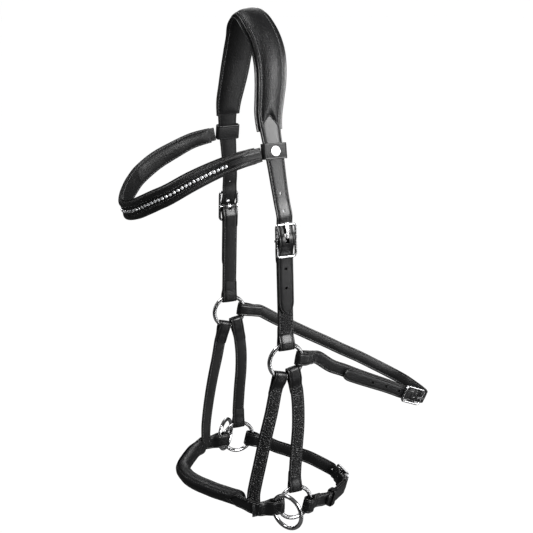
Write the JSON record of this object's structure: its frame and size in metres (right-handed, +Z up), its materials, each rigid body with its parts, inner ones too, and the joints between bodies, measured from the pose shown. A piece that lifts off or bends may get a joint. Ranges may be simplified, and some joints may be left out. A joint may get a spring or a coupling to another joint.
{
  "type": "bitless headstall bridle",
  "caption": "Bitless riding headstall: padded crown and noseband, stone-set browband, ring-joined cheek, drop, jowl and chin straps with centre-bar buckles",
  "frame": {"origin": "middle of the underside of the crown, where it rests on the poll behind the ears; the headstall hangs down from it", "axes": "+Z up along the horse's cheek, -Y towards the horse's forehead and nose, +X towards the near (left) side of the horse"},
  "size_m": [0.2564, 0.4066, 0.627],
  "materials": {
    "strap_leather": "smooth black bridle leather, semi-gloss",
    "padded_leather": "soft grained black leather over padding",
    "lining_leather": "soft matt black lining leather",
    "ring_metal": "polished round ring wire",
    "buckle_metal": "polished buckle",
    "crystal": "clear cut stones in bright cups"
  },
  "bodies": {
    "headstall": {"crown_lining": "lining_leather", "crown_strap": "strap_leather", "crown_panel": "padded_leather", "near_cheekpiece": "strap_leather", "far_cheekpiece": "strap_leather", "near_cheek_buckle": "buckle_metal", "far_cheek_buckle": "buckle_metal"},
    "near_cheek_tongue_body": {"near_cheek_tongue": "buckle_metal"},
    "far_cheek_tongue_body": {"far_cheek_tongue": "buckle_metal"},
    "near_upper_ring_body": {"near_upper_ring": "ring_metal"},
    "far_upper_ring_body": {"far_upper_ring": "ring_metal"},
    "browband": {"browband_backing": "lining_leather", "browband_face": "padded_leather", "browband_channel": "strap_leather", "browband_stones": "crystal", "near_browband_loop": "strap_leather", "far_browband_loop": "strap_leather", "browband_studs": "buckle_metal"},
    "noseband": {"near_front_strap": "strap_leather", "far_front_strap": "strap_leather", "near_rear_strap": "strap_leather", "far_rear_strap": "strap_leather", "nose_strap": "strap_leather", "nose_pad": "padded_leather", "nose_cover": "padded_leather"},
    "near_lower_ring_body": {"near_lower_ring": "ring_metal"},
    "far_lower_ring_body": {"far_lower_ring": "ring_metal"},
    "near_rein_ring_body": {"near_rein_ring": "ring_metal"},
    "far_rein_ring_body": {"far_rein_ring": "ring_metal"},
    "jowl": {"near_jowl_strap": "strap_leather", "far_jowl_strap": "strap_leather", "jowl_buckle": "buckle_metal"},
    "jowl_tongue_body": {"jowl_tongue": "buckle_metal"},
    "chin": {"near_chin_strap": "strap_leather", "far_chin_strap": "strap_leather", "chin_buckle": "buckle_metal"},
    "chin_tongue_body": {"chin_tongue": "buckle_metal"},
    "chin_keeper_body": {"chin_keeper": "strap_leather"}
  },
  "joints": [
    {"name": "near_cheek_tongue_hinge", "type": "hinge", "parent": "headstall", "child": "near_cheek_tongue_body", "pos_m": [0.08789, 0.008, -0.23475], "axis": [0, 1, 0], "range_deg": [0, 30]},
    {"name": "far_cheek_tongue_hinge", "type": "hinge", "parent": "headstall", "child": "far_cheek_tongue_body", "pos_m": [-0.08789, 0.008, -0.23475], "axis": [0, -1, 0], "range_deg": [0, 30]},
    {"name": "near_upper_ring_spin", "type": "hinge", "parent": "headstall", "child": "near_upper_ring_body", "pos_m": [0.092, 0.008, -0.378], "axis": [1, 0, 0], "continuous": true},
    {"name": "far_upper_ring_spin", "type": "hinge", "parent": "headstall", "child": "far_upper_ring_body", "pos_m": [-0.092, 0.008, -0.378], "axis": [1, 0, 0], "continuous": true},
    {"name": "browband_tip", "type": "hinge", "parent": "headstall", "child": "browband", "pos_m": [0, 0.001, -0.137], "axis": [1, 0, 0], "range_deg": [-4, 4]},
    {"name": "noseband_swing", "type": "hinge", "parent": "headstall", "child": "noseband", "pos_m": [0, 0.008, -0.378], "axis": [1, 0, 0], "range_deg": [-18, 2]},
    {"name": "near_lower_ring_spin", "type": "hinge", "parent": "noseband", "child": "near_lower_ring_body", "pos_m": [0.094, 0.02, -0.563], "axis": [1, 0, 0], "continuous": true},
    {"name": "far_lower_ring_spin", "type": "hinge", "parent": "noseband", "child": "far_lower_ring_body", "pos_m": [-0.094, 0.02, -0.563], "axis": [1, 0, 0], "continuous": true},
    {"name": "near_rein_ring_swing", "type": "hinge", "parent": "noseband", "child": "near_rein_ring_body", "pos_m": [0.094, -0.0073, -0.563], "axis": [0, 0, -1], "range_deg": [-30, 60]},
    {"name": "far_rein_ring_swing", "type": "hinge", "parent": "noseband", "child": "far_rein_ring_body", "pos_m": [-0.094, -0.0073, -0.563], "axis": [0, 0, 1], "range_deg": [-16, 74]},
    {"name": "jowl_swing", "type": "hinge", "parent": "headstall", "child": "jowl", "pos_m": [0, 0.008, -0.378], "axis": [1, 0, 0], "range_deg": [-2, 20]},
    {"name": "jowl_tongue_hinge", "type": "hinge", "parent": "jowl", "child": "jowl_tongue_body", "pos_m": [0.05673, 0.20001, -0.46851], "axis": [0.0013, -0.4552, -0.8904], "range_deg": [0, 30]},
    {"name": "chin_swing", "type": "hinge", "parent": "noseband", "child": "chin", "pos_m": [0, 0.02, -0.563], "axis": [1, 0, 0], "range_deg": [-12, 25]},
    {"name": "chin_tongue_hinge", "type": "hinge", "parent": "chin", "child": "chin_tongue_body", "pos_m": [0.00149, 0.12769, -0.59916], "axis": [0.065, -0.3084, -0.949], "range_deg": [0, 30]},
    {"name": "chin_keeper_slide", "type": "slide", "parent": "chin", "child": "chin_keeper_body", "axis": [-0.6103, 0.7664, -0.2001], "range_m": [-0.003, 0.003]}
  ]
}
